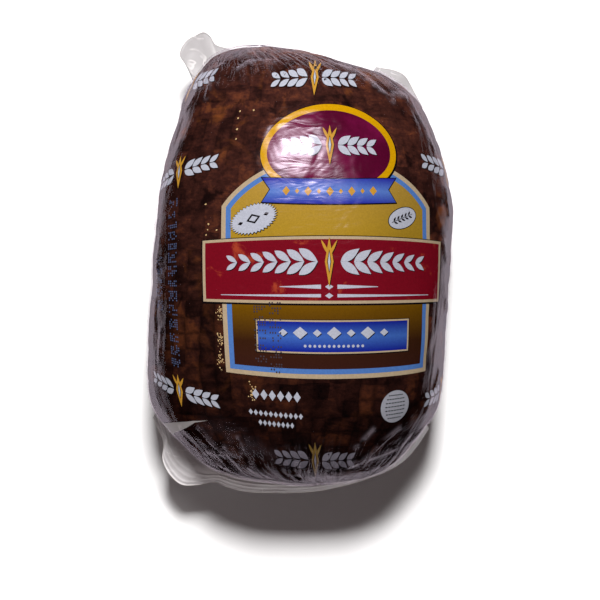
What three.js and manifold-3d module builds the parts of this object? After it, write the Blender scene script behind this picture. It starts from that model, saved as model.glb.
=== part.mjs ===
// A boneless smoked ham, vacuum-sealed in a clear shrink bag and lying on its back, printed face up.
// The bag is tight on the meat, so bag and meat are one solid out to the film. What stands free of
// the meat is film alone: the fin beyond the heat seal, with the ear at its left corner, and the two
// ears at the corners of the bag's closed end.
//
// Millimetres. +Z is up, +Y runs to the closed end, and the heat-sealed end is at -Y.
// The origin is under the middle of the whole pack, on the surface that it lies on.

import * as THREE from 'three';
import { mergeVertices } from 'three/addons/utils/BufferGeometryUtils.js';
import Module from 'manifold-3d';

// Plan outline of the meat in its film: distance along, left edge, right edge
const SEALED_TIP = { along: -139, across: 12 };
const CLOSED_TIP = { along: 138.3, across: -26 };
const OUTLINE = [
  [-136.8, -17, 35],
  [-134.2, -35.5, 44.5],
  [-128.6, -56, 56],
  [-121, -66.5, 65.5],
  [-113, -74.5, 72],
  [-102, -84.5, 80.5],
  [-91, -92, 87.5],
  [-76, -95.5, 90.5],
  [-52, -95.8, 92.2],
  [-20, -94.8, 94],
  [8, -93.8, 95],
  [35, -91.8, 95.6],
  [55, -89.2, 92],
  [74, -83.6, 86.6],
  [90, -77.8, 81],
  [103, -74, 74.8],
  [113, -69.8, 64],
  [121, -64.8, 49.5],
  [127, -59.8, 32],
  [132.6, -53, 12.5],
];

// Height: level of the widest outline, and the meat's rise above it and reach below it
const GIRTH_LEVEL = 61;
const RISE = 66;
const REACH_BELOW = 65;

// How bluntly the side profile closes at each end, and how square the girth is
const SEALED_END = { power: 2.6, run: 3.1 };
const CLOSED_END = { power: 2.4, run: 2.4 };
const GIRTH_POWER = 2.45;

// Lumps of the pressed meat: depth, waves round the girth, waves along the length, start
const LUMPS = [
  { depth: 0.8, round: 3, along: 2.2, start: 0.6 },
  { depth: 0.6, round: 5, along: -3.4, start: 2.1 },
  { depth: 0.4, round: 8, along: 5.2, start: 4.0 },
];
const RINGS = 48;
const RING_POINTS = 64;

// Free film. Each flap's root lies inside the meat and its rim stands out, both in plan.
// It falls away from its level towards the rim, and the ripples run across it
const FLAP_THICKNESS = 1.2;
const FLAPS = [
  {
    root: [[-84, -84], [-83, -98], [-72, -110], [-58, -121], [-36, -129], [0, -131.5], [32, -129],
      [50, -122], [62, -114], [72, -103], [76, -96]],
    rim: [[-94.5, -98], [-91.5, -104.5], [-87.6, -114.6], [-88.2, -124.7], [-83.7, -134.9],
      [-76, -141.2], [-66, -141.6], [-55, -140], [-46, -143.3], [-35.4, -145.9], [-10, -146.9],
      [9, -146], [32, -141.5], [56, -133.1], [67.6, -126.2], [76, -116.5], [83.5, -105.5]],
    level: 54,
    fall: [7, 16],
    ripples: 10,
    rippleHeight: 0.9,
    steps: 72,
    rows: 5,
  },
  {
    root: [[-44, 125], [-50, 122], [-56, 117.5], [-61, 111], [-64, 104]],
    rim: [[-44.5, 137.5], [-53.7, 140.2], [-57.4, 145.7], [-61.4, 148.3], [-66, 146.7],
      [-71.5, 143.8], [-75.7, 138.4], [-76.6, 133], [-73.5, 128.2], [-70.5, 122.3], [-67.5, 116]],
    level: 60,
    fall: [5, 5],
    ripples: 1.5,
    rippleHeight: 1.6,
    steps: 22,
    rows: 8,
  },
  {
    root: [[67, 95], [63, 102], [57, 108], [50, 112], [42, 115]],
    rim: [[79, 101], [74.3, 110.2], [70.8, 117.4], [67, 122.4], [59.5, 126], [49, 128]],
    level: 54,
    fall: [9, 14],
    ripples: 2,
    rippleHeight: 1.2,
    steps: 20,
    rows: 6,
  },
];

const FILM_COLOUR = 0x4a2618;

const signedPower = (value, power) => Math.sign(value) * Math.abs(value) ** power;
const wasm = await Module();
wasm.setup();

// A closed three.js geometry as a solid that can be joined and cut
function solidOf(geometry) {
  const bare = new THREE.BufferGeometry();
  bare.setAttribute('position', geometry.getAttribute('position'));
  bare.setIndex(geometry.getIndex());
  const merged = mergeVertices(bare, 1e-4);
  const mesh = new wasm.Mesh({
    numProp: 3,
    vertProperties: new Float32Array(merged.getAttribute('position').array),
    triVerts: new Uint32Array(merged.getIndex().array),
  });
  return new wasm.Manifold(mesh);
}

function geometryOf(solid) {
  const mesh = solid.getMesh();
  const geometry = new THREE.BufferGeometry();
  geometry.setAttribute('position', new THREE.BufferAttribute(mesh.vertProperties, mesh.numProp));
  geometry.setIndex(new THREE.BufferAttribute(mesh.triVerts, 1));
  geometry.computeVertexNormals();
  return geometry;
}

function geometryFrom(points, triangles) {
  const geometry = new THREE.BufferGeometry().setFromPoints(points);
  geometry.setIndex(triangles);
  return geometry;
}

// Rings crowd towards both tips: their phase goes from 0 at the sealed end to pi at the closed end
const middleAlong = (SEALED_TIP.along + CLOSED_TIP.along) / 2;
const halfLength = (CLOSED_TIP.along - SEALED_TIP.along) / 2;
const phaseAt = (along) => Math.acos(-(along - middleAlong) / halfLength);

function outlineCurve() {
  const phases = [0];
  const edges = [SEALED_TIP.across, SEALED_TIP.across];
  for (const [along, left, right] of OUTLINE) {
    phases.push(phaseAt(along));
    edges.push(left, right);
  }
  phases.push(Math.PI);
  edges.push(CLOSED_TIP.across, CLOSED_TIP.across);
  return new THREE.CubicInterpolant(phases, edges, 2, new Float32Array(2));
}
const outline = outlineCurve();

function fullness(station, { power, run }) {
  return Math.max(0, 1 - Math.abs(station) ** run) ** (1 / power);
}

// A point of the film on the meat, at a ring's phase and an angle round the girth from +X over the top
function bodyPoint(phase, angle) {
  const station = -Math.cos(phase);
  const profile = fullness(station, station < 0 ? SEALED_END : CLOSED_END);
  const [left, right] = outline.evaluate(phase);
  const across = signedPower(Math.cos(angle), 2 / GIRTH_POWER);
  const up = signedPower(Math.sin(angle), 2 / GIRTH_POWER);
  let lump = 0;
  for (const { depth, round, along, start } of LUMPS) {
    lump += depth * profile * Math.sin(round * angle + along * station + start);
  }
  const height = (up > 0 ? RISE : REACH_BELOW) * profile;
  return new THREE.Vector3(
    (left + right) / 2 + ((right - left) / 2 + lump) * across,
    middleAlong + halfLength * station,
    GIRTH_LEVEL + (height + lump) * up,
  );
}

function bodySolid() {
  const points = [bodyPoint(0, 0)];
  for (let ring = 1; ring < RINGS; ring++) {
    for (let step = 0; step < RING_POINTS; step++) {
      points.push(bodyPoint((Math.PI * ring) / RINGS, (2 * Math.PI * step) / RING_POINTS));
    }
  }
  points.push(bodyPoint(Math.PI, 0));
  const last = points.length - 1;
  const triangles = [];
  for (let step = 0; step < RING_POINTS; step++) {
    const next = (step + 1) % RING_POINTS;
    triangles.push(0, 1 + step, 1 + next);
    for (let ring = 0; ring < RINGS - 2; ring++) {
      const here = 1 + ring * RING_POINTS;
      const there = here + RING_POINTS;
      triangles.push(here + step, there + step, there + next);
      triangles.push(here + step, there + next, here + next);
    }
    triangles.push(last, last - RING_POINTS + next, last - RING_POINTS + step);
  }
  return solidOf(geometryFrom(points, triangles));
}

// A thin wavy sheet over a grid of middle points, closed round its rim
function sheetSolid(rows) {
  const high = rows.length;
  const wide = rows[0].length;
  const points = [];
  for (const side of [1, -1]) {
    for (let row = 0; row < high; row++) {
      for (let column = 0; column < wide; column++) {
        const along = rows[row][Math.min(column + 1, wide - 1)].clone();
        along.sub(rows[row][Math.max(column - 1, 0)]);
        const out = rows[Math.min(row + 1, high - 1)][column].clone();
        out.sub(rows[Math.max(row - 1, 0)][column]);
        const normal = out.cross(along).normalize();
        points.push(rows[row][column].clone().addScaledVector(normal, (side * FLAP_THICKNESS) / 2));
      }
    }
  }
  const below = high * wide;
  const triangles = [];
  const quad = (a, b, c, d) => triangles.push(a, b, c, a, c, d);
  for (let row = 0; row < high - 1; row++) {
    for (let column = 0; column < wide - 1; column++) {
      const a = row * wide + column;
      const b = a + wide;
      quad(a, b, b + 1, a + 1);
      quad(below + a, below + a + 1, below + b + 1, below + b);
    }
  }
  for (let column = 0; column < wide - 1; column++) {
    const far = (high - 1) * wide + column;
    quad(column, column + 1, below + column + 1, below + column);
    quad(far, below + far, below + far + 1, far + 1);
  }
  for (let row = 0; row < high - 1; row++) {
    const a = row * wide;
    const b = a + wide - 1;
    quad(a, below + a, below + a + wide, a + wide);
    quad(b, b + wide, below + b + wide, below + b);
  }
  const solid = solidOf(geometryFrom(points, triangles));
  return solid.volume() < 0 ? solidOf(geometryFrom(points, triangles.reverse())) : solid;
}

const planCurve = (line) => new THREE.CatmullRomCurve3(
  line.map(([x, y]) => new THREE.Vector3(x, y, 0)),
  false,
  'centripetal',
);

function flapSolid({ root, rim, level, fall, ripples, rippleHeight, steps, rows }) {
  const rootCurve = planCurve(root);
  const rimCurve = planCurve(rim);
  const grid = [];
  for (let row = 0; row <= rows; row++) {
    const out = row / rows;
    const line = [];
    for (let step = 0; step <= steps; step++) {
      const share = step / steps;
      const point = rootCurve.getPointAt(share).lerp(rimCurve.getPointAt(share), out);
      const ripple = rippleHeight * Math.sin(2 * Math.PI * ripples * share);
      const drop = THREE.MathUtils.lerp(fall[0], fall[1], share);
      point.z = level + ripple * out - drop * out ** 2;
      line.push(point);
    }
    grid.push(line);
  }
  return sheetSolid(grid);
}

// Everything below the surface that the pack lies on, which leaves it a flat spot to rest on
function groundSolid() {
  const depth = 40;
  const ground = new THREE.BoxGeometry(3 * halfLength, 3 * halfLength, depth);
  ground.translate(0, 0, -depth / 2);
  return solidOf(ground);
}

function sealedBag() {
  let bag = bodySolid();
  for (const flap of FLAPS) {
    bag = bag.add(flapSolid(flap));
  }
  bag = bag.subtract(groundSolid());
  const film = new THREE.MeshStandardMaterial({ color: FILM_COLOUR, roughness: 0.22, metalness: 0 });
  const mesh = new THREE.Mesh(geometryOf(bag), film);
  mesh.name = 'sealed_bag';
  return mesh;
}

const pack = new THREE.Group();
const bag = sealedBag();
const bounds = new THREE.Box3().setFromObject(bag);
const middle = bounds.getCenter(new THREE.Vector3());
bag.position.set(-middle.x, -middle.y, -bounds.min.z);
pack.add(bag);

export default pack;
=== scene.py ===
import math
import random

import bmesh
import bpy
import numpy as np
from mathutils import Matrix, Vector, noise


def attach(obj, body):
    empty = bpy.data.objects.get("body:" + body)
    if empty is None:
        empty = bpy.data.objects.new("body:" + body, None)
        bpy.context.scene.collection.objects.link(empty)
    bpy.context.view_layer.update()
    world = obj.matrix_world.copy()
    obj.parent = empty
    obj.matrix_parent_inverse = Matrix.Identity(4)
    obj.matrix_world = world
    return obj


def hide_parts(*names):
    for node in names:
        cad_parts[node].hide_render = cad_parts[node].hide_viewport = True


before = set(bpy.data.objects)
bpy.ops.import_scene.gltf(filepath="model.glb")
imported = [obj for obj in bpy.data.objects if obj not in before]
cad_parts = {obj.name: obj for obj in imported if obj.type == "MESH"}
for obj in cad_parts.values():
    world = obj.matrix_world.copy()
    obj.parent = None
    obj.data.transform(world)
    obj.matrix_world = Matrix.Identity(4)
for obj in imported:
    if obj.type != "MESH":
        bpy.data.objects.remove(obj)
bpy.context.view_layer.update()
print("frame loaded")

mm = 0.001
lightLevel = 1.75  # how far the light on a level surface is above plain white
random.seed(7)


# The meat in its film, in millimetres, on the sizes that the solid is made from

hamForm = dict(
    sealedTip=(-139.0, 12.0),  # along, across
    closedTip=(138.3, -26.0),
    outline=(  # along, left edge, right edge
        (-136.8, -17, 35), (-134.2, -35.5, 44.5), (-128.6, -56, 56), (-121, -66.5, 65.5),
        (-113, -74.5, 72), (-102, -84.5, 80.5), (-91, -92, 87.5), (-76, -95.5, 90.5), (-52, -95.8, 92.2),
        (-20, -94.8, 94), (8, -93.8, 95), (35, -91.8, 95.6), (55, -89.2, 92), (74, -83.6, 86.6),
        (90, -77.8, 81), (103, -74, 74.8), (113, -69.8, 64), (121, -64.8, 49.5), (127, -59.8, 32),
        (132.6, -53, 12.5)),
    girthLevel=61.0, rise=66.0, reachBelow=65.0,
    sealedEnd=(3.1, 2.6), closedEnd=(2.4, 2.4),  # run and power of the side profile
    girthPower=2.45,
    lumps=((0.8, 3, 2.2, 0.6), (0.6, 5, -3.4, 2.1), (0.4, 8, 5.2, 4.0)),  # depth, round, along, start
    packMiddle=(-0.17, 0.45),  # what the frame puts at its origin, in plan
    lowest=0.15)

middleAlong = (hamForm["sealedTip"][0] + hamForm["closedTip"][0]) / 2
halfLength = (hamForm["closedTip"][0] - hamForm["sealedTip"][0]) / 2


def hermite(start, end, startPull, endPull, t):
    return (start * (2 * t**3 - 3 * t**2 + 1) + startPull * (t**3 - 2 * t**2 + t)
            + end * (3 * t**2 - 2 * t**3) + endPull * (t**3 - t**2))


def phaseAt(along):  # 0 at the sealed tip, pi at the closed tip
    return np.arccos(np.clip(-(np.asarray(along, float) - middleAlong) / halfLength, -1, 1))


tipRows = [(hamForm[tip][1],) * 2 for tip in ("sealedTip", "closedTip")]
edgeRows = np.array([tipRows[0], *(row[1:] for row in hamForm["outline"]), tipRows[1]], float)
edgePhases = np.array([0.0, *(float(phaseAt(row[0])) for row in hamForm["outline"]), math.pi])
edgeSlopes = np.diff(edgeRows, axis=0) / np.diff(edgePhases)[:, None]
edgePulls = np.vstack([edgeSlopes[:1], (edgeSlopes[:-1] + edgeSlopes[1:]) / 2, edgeSlopes[-1:]])


def edgesAt(phase):
    i = np.clip(np.searchsorted(edgePhases, phase, side="right") - 1, 0, len(edgePhases) - 2)
    span = (edgePhases[i + 1] - edgePhases[i])[..., None]
    t = (phase - edgePhases[i])[..., None] / span
    edges = hermite(edgeRows[i], edgeRows[i + 1], edgePulls[i] * span, edgePulls[i + 1] * span, t)
    return edges[..., 0], edges[..., 1]


def signedPower(value, power):
    return np.sign(value) * np.abs(value) ** power


def girthPoint(phase, turn):  # turn is 0 on top, positive to the right
    phase, turn = np.broadcast_arrays(np.asarray(phase, float), np.asarray(turn, float))
    angle = math.pi / 2 - turn
    station = -np.cos(phase)
    sealed = station < 0
    run = np.where(sealed, hamForm["sealedEnd"][0], hamForm["closedEnd"][0])
    power = np.where(sealed, hamForm["sealedEnd"][1], hamForm["closedEnd"][1])
    profile = np.maximum(0, 1 - np.abs(station) ** run) ** (1 / power)
    left, right = edgesAt(phase)
    across = signedPower(np.cos(angle), 2 / hamForm["girthPower"])
    up = signedPower(np.sin(angle), 2 / hamForm["girthPower"])
    lump = sum(depth * profile * np.sin(around * angle + along * station + start)
               for depth, around, along, start in hamForm["lumps"])
    height = np.where(up > 0, hamForm["rise"], hamForm["reachBelow"]) * profile
    x = (left + right) / 2 + ((right - left) / 2 + lump) * across - hamForm["packMiddle"][0]
    y = middleAlong + halfLength * station - hamForm["packMiddle"][1]
    z = hamForm["girthLevel"] + (height + lump) * up
    return np.stack([x, y, z], -1)


# Arc length round the girth: share is 0 on top, 1 and -1 at the bottom

arcTable = dict(rows=361, turns=1441, shares=801, endGap=0.006)
rowPhases = np.linspace(arcTable["endGap"], math.pi - arcTable["endGap"], arcTable["rows"])
tableShares = np.linspace(-1, 1, arcTable["shares"])


def measureGirths():
    turns = np.linspace(-math.pi, math.pi, arcTable["turns"])
    rings = girthPoint(rowPhases[:, None], turns[None, :])
    steps = np.linalg.norm(np.diff(rings, axis=1), axis=2)
    arcs = np.hstack([np.zeros((len(rings), 1)), np.cumsum(steps, axis=1)])
    arcs -= arcs[:, len(turns) // 2][:, None]
    halves = np.stack([-arcs[:, 0], arcs[:, -1]], -1)
    sides = np.where(tableShares < 0, halves[:, :1] * tableShares, halves[:, 1:] * tableShares)
    return halves, np.array([np.interp(side, arc, turns) for side, arc in zip(sides, arcs)])


halfGirths, turnTable = measureGirths()
topLine = girthPoint(rowPhases, 0.0)
topArcs = np.concatenate([[0.0], np.cumsum(np.linalg.norm(np.diff(topLine, axis=0), axis=1))])


def rowAt(phase):
    row = (phase - rowPhases[0]) / (rowPhases[1] - rowPhases[0])
    row = np.clip(row, 0, len(rowPhases) - 1.001)
    return row.astype(int), row % 1


def halfGirthAt(phase, onLeft):
    i, f = rowAt(phase)
    left, right = ((1 - f) * halfGirths[i, side] + f * halfGirths[i + 1, side] for side in (0, 1))
    return np.where(onLeft, left, right)


def shareAt(phase, arc):
    return np.clip(arc / halfGirthAt(phase, arc < 0), -1, 1)


def turnAt(phase, share):
    i, f = rowAt(phase)
    column = np.clip((share + 1) / 2 * (len(tableShares) - 1), 0, len(tableShares) - 1.001)
    j, g = column.astype(int), column % 1
    low = turnTable[i, j] * (1 - g) + turnTable[i, j + 1] * g
    high = turnTable[i + 1, j] * (1 - g) + turnTable[i + 1, j + 1] * g
    return low * (1 - f) + high * f


def noiseField(points, scale, seed=0.0):  # one value a point, about -1 to 1
    shift = Vector((seed * 17.3, seed * -9.1, seed * 5.7))
    return np.array([noise.noise(Vector(p) * scale + shift) for p in points.reshape(-1, 3)]
                    ).reshape(points.shape[:-1])


# The print's flat layout: across and along from its middle, in millimetres

printLayout = dict(
    middle=(18.5, -11.0),
    bow=1.6e-5,  # how far the rows bend towards the sides
    taper=0.048, taperMiddle=20.0, taperRun=86.0,  # how far the print narrows towards the ends
    cell=2.6, depth=0.25, layer=0.045)  # size of the mesh's cells, depth of the lowest layer, rise of each


def printWidth(station):  # share of its width that the print has left after the film's shrinking
    run = (station - printLayout["taperMiddle"]) / printLayout["taperRun"]
    return 1 - printLayout["taper"] * run**2


# Relief, in millimetres

relief = dict(
    netCells=26,  # cells of the net's imprint from the top line to the bottom, on each side
    netPitch=10.2, netDepth=0.45, netGive=1.6, netWander=1 / 16, netPatches=1 / 30,
    netOnFilm=0.3, netOnPrint=0.2,  # how much of the imprint film and print follow
    topShares=(0.2, 0.42), topEnds=(0.72, 0.92),  # where the printed face ends, sideways and lengthwise
    dents=((1 / 27, 0.85, 2), (1 / 12, 0.45, 8)),  # scale, depth and seed of the flats that all share
    dentsOnTop=0.22,
    creaseDepth=0.8, creaseScale=(7.0, 1.5), creaseFrom=0.62,
    pullWidth=1.5, pullHeight=0.75)

# Folds where the film is pulled tight: each a line across and along the print, as printLayout has it
pulls = (
    ((29, -91.5), (17.8, -101.9)), ((49.8, -118.2), (58.7, -107.4), (73.4, -99.3)),
    ((29.2, -106.9), (38, -99.1), (48.1, -93)), ((12.5, -113.4), (27.1, -109.4), (49.8, -106.6)),
    ((42.5, -118.6), (50.2, -112.3), (58.1, -101)), ((0.1, -119.3), (23.2, -118), (45.5, -116.3)),
    ((71, -87.8), (73.1, -76.7)), ((77.5, -74.3), (84.3, -62)),
    ((-89.1, -120), (-62.5, -112.9)), ((-91.5, -102), (-82.3, -112.7), (-75.9, -117.7)),
    ((-74.3, -110), (-70.5, -118.8)), ((-57.3, -120.7), (-37.9, -124.3)),
    ((-107.2, -118.1), (-93.7, -127.7)), ((-62.9, -101.3), (-58.7, -110.5)),
    ((-84.4, -126.3), (-62.2, -127.4)), ((-49.5, -124.1), (-21.8, -124)),
    ((-91.5, 143.1), (-93.5, 130.5), (-100.5, 127.3)), ((-80.4, 138.1), (-81.5, 126)),
    ((-72.9, 145.7), (-81.2, 142.8), (-86.7, 138.9)), ((-60.7, 138.5), (-53.9, 140.6), (-36.2, 137.5)),
    ((-106.3, 122.6), (-109.2, 104.5)), ((-115.3, 104), (-117.4, 84.7)),
    ((27.9, 122.6), (36.4, 117.3), (42.9, 113.3)), ((42, 117.8), (53.5, 119.5)),
    ((58.5, 116.1), (67.1, 105), (70.6, 95)), ((69.6, 101.6), (75.2, 89.5)),
    ((6.7, 133), (17.7, 129.7), (27.9, 122.6)),
    ((83.3, 63.7), (84.7, 46.4)), ((78.4, 28.2), (84.7, 13.5)), ((86.7, -13.2), (93.9, -35.3)),
    ((-126.7, 68.5), (-125.8, 42.9)), ((-114.7, 32.3), (-117.6, 8.9)), ((-121.3, -15.1), (-122.8, -39.7)),
    ((-114.6, -38), (-118.2, -62.5)))


def smoothStep(value, low, high):
    t = np.clip((value - low) / (high - low), 0, 1)
    return t * t * (3 - 2 * t)


def netCoords(phase, share):
    return share * relief["netCells"], np.interp(phase, rowPhases, topArcs) / relief["netPitch"]


def netBulge(phase, share, points):
    across, along = netCoords(phase, share)
    give = relief["netGive"] / relief["netPitch"]
    across = across + give * noiseField(points, relief["netWander"], 3)
    along = along + give * noiseField(points, relief["netWander"], 4)
    cell = (np.abs(np.sin(math.pi * across)) * np.abs(np.sin(math.pi * along))) ** 0.5
    patches = 0.7 + 0.6 * noiseField(points, relief["netPatches"], 5)
    return relief["netDepth"] * (cell - 0.7) * patches


def offTop(phase, share):  # 0 on the printed face, 1 on the flanks, the ends and the back
    side = smoothStep(np.abs(share), *relief["topShares"])
    end = smoothStep(np.abs(np.cos(phase)), *relief["topEnds"])
    return np.maximum(side, end)


def dents(phase, share, points):
    weight = relief["dentsOnTop"] + (1 - relief["dentsOnTop"]) * offTop(phase, share)
    return weight * sum(depth * noiseField(points, scale, seed) for scale, depth, seed in relief["dents"])


def creases(phase, share):  # folds of the film that run in to both ends
    station = np.abs(np.cos(phase))
    towardsEnd = np.clip((station - relief["creaseFrom"]) / (1 - relief["creaseFrom"]), 0, 1)
    around, along = relief["creaseScale"]
    spots = np.stack([share * around * 3, phase * along, np.sign(np.cos(phase)) * 3], -1)
    ridge = 1 - np.abs(noiseField(spots, 1.0, 6)) * 2.2
    return relief["creaseDepth"] * towardsEnd**1.5 * np.clip(ridge, 0, 1) ** 2


def pullShare(phase, share):  # 1 on the lines where the film is pulled, 0 away from them
    middle = printLayout["middle"]
    left, right = edgesAt(phase)
    along = middleAlong - halfLength * np.cos(phase)
    arc = share * halfGirthAt(phase, share < 0)
    x = (arc + (left + right) / 2 - middle[0]) / printWidth(along)
    y = (along - middle[1]) / (1 - printLayout["bow"] * x**2)
    most = np.zeros_like(x)
    for line in pulls:
        for a, b in zip(line, line[1:]):
            run = (b[0] - a[0], b[1] - a[1])
            t = np.clip(((x - a[0]) * run[0] + (y - a[1]) * run[1]) / (run[0] ** 2 + run[1] ** 2), 0, 1)
            gap = np.hypot(x - a[0] - t * run[0], y - a[1] - t * run[1])
            most = np.maximum(most, np.exp(-((gap / relief["pullWidth"]) ** 2)))
    return most


def skinPoint(phase, share, lift, net, crease=1.0):
    phase, share = np.broadcast_arrays(np.asarray(phase, float), np.asarray(share, float))
    base = girthPoint(phase, turnAt(phase, share))
    step = 0.004
    ahead = np.clip(phase + step, 0, math.pi)
    behind = np.clip(phase - step, 0, math.pi)
    lengthwise = girthPoint(ahead, turnAt(ahead, share)) - girthPoint(behind, turnAt(behind, share))
    right = np.clip(share + step, -1, 1)
    left = np.clip(share - step, -1, 1)
    sideways = girthPoint(phase, turnAt(phase, right)) - girthPoint(phase, turnAt(phase, left))
    normal = np.cross(sideways, lengthwise)
    normal /= np.maximum(np.linalg.norm(normal, axis=-1, keepdims=True), 1e-9)
    out = lift + net * netBulge(phase, share, base) + crease * creases(phase, share)
    out = out + dents(phase, share, base)
    point = base + normal * out[..., None]
    point[..., 2] = np.maximum(point[..., 2], hamForm["lowest"] - np.minimum(lift, 0))
    return point


# Meshes

def newPiece(name, points, faces, materials, uvs=None, faceMaterials=None):
    mesh = bpy.data.meshes.new(name)
    mesh.from_pydata((np.asarray(points) * mm).tolist(), [], faces)
    for material in materials:
        mesh.materials.append(material)
    if faceMaterials is not None:
        mesh.polygons.foreach_set("material_index", faceMaterials)
    if uvs is not None:
        layer = mesh.uv_layers.new(name="film")
        corners = np.empty(len(mesh.loops), np.int32)
        mesh.loops.foreach_get("vertex_index", corners)
        layer.data.foreach_set("uv", np.asarray(uvs, np.float32)[corners].ravel())
    mesh.polygons.foreach_set("use_smooth", [True] * len(mesh.polygons))
    mesh.validate()
    mesh.update()
    piece = bpy.data.objects.new(name, mesh)
    bpy.context.scene.collection.objects.link(piece)
    return piece


skinGrid = dict(
    rings=262, columns=356, endGap=0.012,
    meatLift=-0.55, filmLift=0.42,  # where meat and film lie, from the solid's surface out
    gatherFrom=(0.74, 0.96))  # how far towards the ends the film's pleats set in


def skinMesh(name, material, lift, net, crease):
    rings, columns, endGap = skinGrid["rings"], skinGrid["columns"], skinGrid["endGap"]
    phases = np.linspace(endGap, math.pi - endGap, rings)
    shares = -1 + 2 * np.arange(columns) / columns
    pulled = pullShare(*np.broadcast_arrays(phases[:, None], shares[None, :])) * crease
    grid = skinPoint(phases[:, None], shares[None, :], lift + relief["pullHeight"] * pulled, net, crease)
    around, along = netCoords(phases[:, None], shares[None, :])
    around, along = np.broadcast_arrays(around, along)
    points = list(grid.reshape(-1, 3))
    uvs = list(np.stack([around, along], -1).reshape(-1, 2))
    faces = []
    for ring in range(rings - 1):
        for column in range(columns):
            beside = (column + 1) % columns
            a, b = ring * columns + column, ring * columns + beside
            faces.append((a, b, b + columns, a + columns))
    for ring, order in ((0, -1), (rings - 1, 1)):  # the two small caps
        tip = grid[ring].mean(axis=0)
        points.append(tip)
        uvs.append((0.0, float(along[ring, 0])))
        for column in range(columns):
            a, b = ring * columns + column, ring * columns + (column + 1) % columns
            faces.append((a, b, len(points) - 1)[::order])
    piece = newPiece(name, points, faces, [material], uvs)
    if crease:
        gather = smoothStep(np.abs(np.cos(phases)), *skinGrid["gatherFrom"])[:, None]
        layers = dict(strain=offTop(phases[:, None], shares[None, :]), fold=pulled, gather=gather)
        for label, values in layers.items():
            values = np.append(np.broadcast_to(values, grid.shape[:2]).ravel(), [0.0, 0.0])
            layer = piece.data.attributes.new(label, "FLOAT", "POINT")
            layer.data.foreach_set("value", values.astype(np.float32))
    return piece


# Shader building

class Shader:
    def __init__(self, name):
        self.material = bpy.data.materials.new(name)
        self.material.use_nodes = True
        self.nodes = self.material.node_tree.nodes
        self.links = self.material.node_tree.links
        self.nodes.clear()
        self.output = self.nodes.new("ShaderNodeOutputMaterial")

    def add(self, kind, inputs=None, **settings):
        node = self.nodes.new("ShaderNode" + kind)
        for key, value in settings.items():
            setattr(node, key, value)
        for key, value in (inputs or {}).items():
            socket = node.inputs[key]
            if isinstance(value, bpy.types.NodeSocket):
                self.links.new(value, socket)
            elif socket.type == "RGBA" and len(value) == 3:
                socket.default_value = (*value, 1.0)
            else:
                socket.default_value = value
        return node

    def math(self, operation, a, b=0.5, clamp=False):
        return self.add("Math", {0: a, 1: b}, operation=operation, use_clamp=clamp).outputs[0]

    def weighted(self, *terms):  # sum of values, each times its weight
        parts = [self.math("MULTIPLY", value, weight) for value, weight in terms]
        total = parts[0]
        for part in parts[1:]:
            total = self.math("ADD", total, part)
        return total

    def uv(self, scale=(1.0, 1.0, 1.0)):
        coords = self.add("UVMap", uv_map="film").outputs[0]
        return self.add("Mapping", {"Vector": coords, "Scale": scale}).outputs[0]

    def place(self, scale=(1.0, 1.0, 1.0)):  # object space, in metres
        coords = self.add("TexCoord").outputs["Object"]
        return self.add("Mapping", {"Vector": coords, "Scale": scale}).outputs[0]

    def noise(self, vector, scale, detail=4.0, roughness=0.55, distortion=0.0):
        node = self.add("TexNoise", {"Vector": vector, "Scale": scale, "Detail": detail,
                                     "Roughness": roughness, "Distortion": distortion})
        return node.outputs["Fac"]

    def remap(self, value, low, high, toLow=0.0, toHigh=1.0, smooth=True):
        kind = "SMOOTHSTEP" if smooth else "LINEAR"
        return self.add("MapRange", {"Value": value, "From Min": low, "From Max": high,
                                     "To Min": toLow, "To Max": toHigh}, interpolation_type=kind).outputs[0]

    def ramp(self, value, stops):
        node = self.add("ValToRGB", {"Fac": value})
        points = node.color_ramp.elements
        while len(points) < len(stops):
            points.new(0.5)
        for point, (place, colour) in zip(points, stops):
            point.position = place
            point.color = (*colour, 1.0)
        return node.outputs["Color"]

    def blend(self, share, a, b, mode="MIX"):
        return self.add("MixRGB", {"Fac": share, "Color1": a, "Color2": b}, blend_type=mode).outputs[0]

    def bump(self, height, strength, distance, normal=None):
        inputs = {"Height": height, "Strength": strength, "Distance": distance}
        if normal is not None:
            inputs["Normal"] = normal
        return self.add("Bump", inputs).outputs[0]

    def toned(self, colour, tone):
        grey = self.add("CombineColor", {0: tone, 1: tone, 2: tone}).outputs[0]
        return self.blend(1.0, colour, grey, "MULTIPLY")

    def paintedShadeAcross(self, colour, start, end, least):  # painted shade: darker towards the right, in metres
        across = self.add("SeparateXYZ", {0: self.place()}).outputs[0]
        return self.toned(colour, self.remap(across, start, end, 1.0, least))

    def finish(self, surface):
        self.links.new(surface, self.output.inputs["Surface"])
        return self.material


def albedo(red, green, blue):  # the surface colour that looks so, from 0 to 255, under the scene's light
    linear = []
    for c in (red, green, blue):
        linear.append(c / 255 / 12.92 if c <= 10 else ((c / 255 + 0.055) / 1.055) ** 2.4)
    return tuple(c / lightLevel for c in linear)


# Meat

meatLook = dict(
    black=albedo(17, 8, 8), dark=albedo(40, 20, 17), brown=albedo(63, 33, 27), amber=albedo(104, 56, 36),
    ochre=albedo(148, 84, 32), roughness=0.6,
    broad=0.38, patches=0.28, fibres=0.14, fine=0.2, uneven=0.16,  # weights in the mottle
    wander=0.45, cellEdge=(0.26, 0.5), grooveDark=0.48,  # the net's imprint
    # the last range is painted shade towards the sealed end and painted light towards the closed end
    pressedAlong=(-0.03, 0.06), stainAlong=(-0.04, 0.05, 0.12, 0.38), paintedLightAndShadeAlong=(-0.13, 0.08, 0.26, 1.25))


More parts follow.
